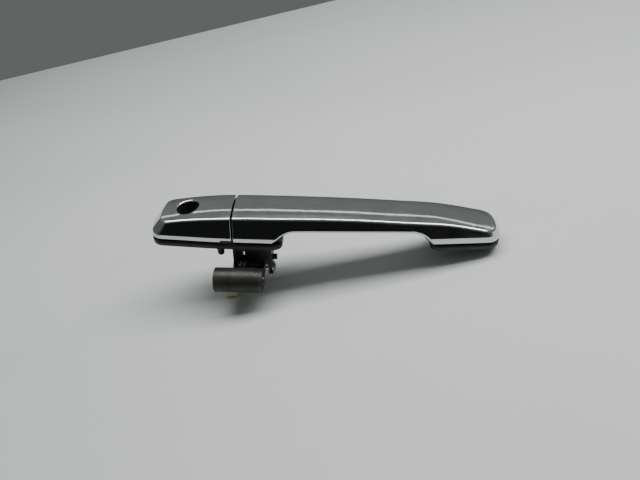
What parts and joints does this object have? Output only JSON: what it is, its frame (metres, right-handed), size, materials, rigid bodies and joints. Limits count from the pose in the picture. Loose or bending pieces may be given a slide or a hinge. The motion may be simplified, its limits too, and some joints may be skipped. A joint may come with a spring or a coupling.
{
  "type": "car door handle",
  "caption": "Chromed strap door handle with a lock cap, rubber gaskets and a sprung, counterweighted crank that works a lock rod clip.",
  "frame": {"origin": "the lock cylinder's axis in the plane of the door skin, which the gaskets' undersides touch", "axes": "+Z out of the door, +X along the handle towards its hinged front end, +Y across the handle, away from the counterweight"},
  "size_m": [0.2504, 0.058, 0.0746],
  "materials": {
    "chrome_cap": "polished",
    "chrome_strap": "polished",
    "carrier_plastic": "moulded, fine grain",
    "base_plastic": "glass-filled moulding",
    "core_plastic": "moulded, fine grain",
    "gasket_rubber": "matt",
    "bumper_rubber": "matt",
    "screw_steel": "zinc plated",
    "insert_brass": "turned",
    "bush_steel": "turned",
    "pin_steel": "ground",
    "rivet_steel": "blackened",
    "bracket_metal": "black coating",
    "clip_steel": "phosphated",
    "spring_steel": "drawn wire",
    "hook_steel": "dark coating",
    "bush_plastic": "acetal",
    "crank_metal": "black coating",
    "weight_metal": "olive grey passivated",
    "roller_plastic": "acetal",
    "clip_plastic": "beige acetal"
  },
  "bodies": {
    "base": {"cap_cover": "chrome_cap", "cap_carrier": "carrier_plastic", "carrier_screws": "screw_steel", "rear_gasket": "gasket_rubber", "rear_base": "base_plastic", "pivot_bracket": "bracket_metal", "bracket_screws": "screw_steel", "mount_inserts": "insert_brass", "closing_bumpers": "bumper_rubber", "pivot_bushes": "bush_steel", "pivot_pin": "pin_steel", "pin_clip": "clip_steel", "return_spring": "spring_steel", "front_gasket": "gasket_rubber", "front_base": "base_plastic", "front_hinge_pin": "pin_steel"},
    "handle": {"handle_cover": "chrome_strap", "handle_core": "core_plastic", "cover_screws": "screw_steel", "pull_hook": "hook_steel", "hook_screw": "screw_steel", "front_arm_bush": "bush_plastic"},
    "crank": {"bell_crank": "crank_metal", "counterweight": "weight_metal", "weight_rivet": "rivet_steel", "crank_roller": "roller_plastic", "roller_pin": "pin_steel", "rod_stud": "pin_steel"},
    "clip": {"rod_clip": "clip_plastic"}
  },
  "joints": [
    {"name": "handle_pull", "type": "hinge", "parent": "base", "child": "handle", "pos_m": [0.216, 0, -0.0035], "axis": [0, 1, 0], "range_deg": [0, 6]},
    {"name": "crank_turn", "type": "hinge", "parent": "base", "child": "crank", "pos_m": [0.045, -0.0125, -0.0223], "axis": [1, 0, 0], "range_deg": [0, 54], "stiffness_Nm_per_rad": 0.148, "springref_deg": -103.13, "deforming": ["return_spring"]},
    {"name": "clip_swivel", "type": "hinge", "parent": "crank", "child": "clip", "pos_m": [0.026, -0.015, -0.04], "axis": [1, 0, 0], "range_deg": [-40, 40]}
  ],
  "couplings": [
    {"joint": "crank_turn", "follows": "handle_pull", "ratio": 9}
  ]
}
